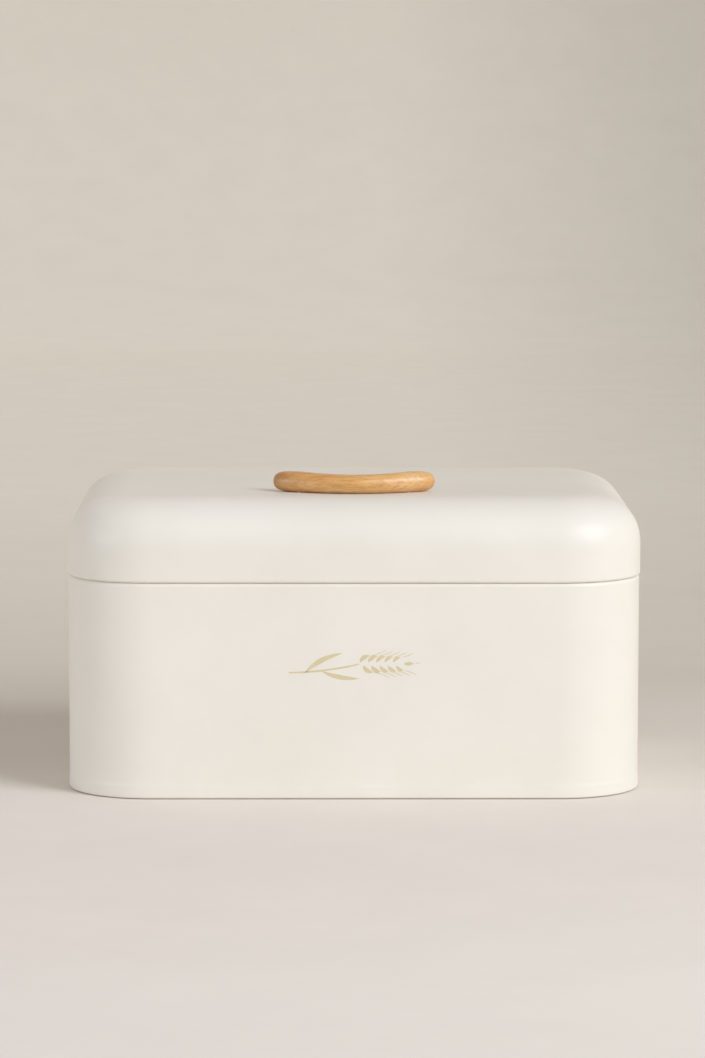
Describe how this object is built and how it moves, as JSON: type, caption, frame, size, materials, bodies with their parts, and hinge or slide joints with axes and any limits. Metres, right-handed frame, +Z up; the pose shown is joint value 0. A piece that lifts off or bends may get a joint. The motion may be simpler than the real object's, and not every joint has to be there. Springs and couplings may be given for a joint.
{
  "type": "bread bin",
  "caption": "Sheet-steel bread bin with rounded corners, a back-hinged domed lid and a bowed wooden pull on top.",
  "frame": {"origin": "bottom centre of the whole bin's box, on the surface that the bin stands on", "axes": "+Z up, +X to the right seen from the front, and the front faces -Y; the lid's hinges are on the +Y side"},
  "size_m": [0.3312, 0.2412, 0.1827],
  "materials": {
    "powder_coat": "satin cream powder coat with a faint orange-peel texture",
    "handle_wood": "honey-coloured beech, satin varnish",
    "hardware_steel": "nickel-plated steel, satin",
    "foot_rubber": "matte dark rubber"
  },
  "bodies": {
    "body": {"body_wall": "powder_coat", "base_panel": "powder_coat", "hinge_left_body_leaf": "hardware_steel", "hinge_right_body_leaf": "hardware_steel", "hinge_left_pin": "hardware_steel", "hinge_right_pin": "hardware_steel", "rivet_body_left_left": "hardware_steel", "rivet_body_left_right": "hardware_steel", "rivet_body_right_left": "hardware_steel", "rivet_body_right_right": "hardware_steel", "foot_front_left": "foot_rubber", "foot_front_right": "foot_rubber", "foot_back_left": "foot_rubber", "foot_back_right": "foot_rubber"},
    "lid": {"lid_shell": "powder_coat", "handle": "handle_wood", "handle_screw_left": "hardware_steel", "handle_screw_right": "hardware_steel", "handle_washer_left": "hardware_steel", "handle_washer_right": "hardware_steel", "hinge_left_lid_leaf": "hardware_steel", "hinge_right_lid_leaf": "hardware_steel", "rivet_lid_left_left": "hardware_steel", "rivet_lid_left_right": "hardware_steel", "rivet_lid_right_left": "hardware_steel", "rivet_lid_right_right": "hardware_steel"}
  },
  "joints": [
    {"name": "lid_hinge", "type": "hinge", "parent": "body", "child": "lid", "pos_m": [0, 0.11561, 0.1239], "axis": [-1, 0, 0], "range_deg": [0, 100]}
  ]
}
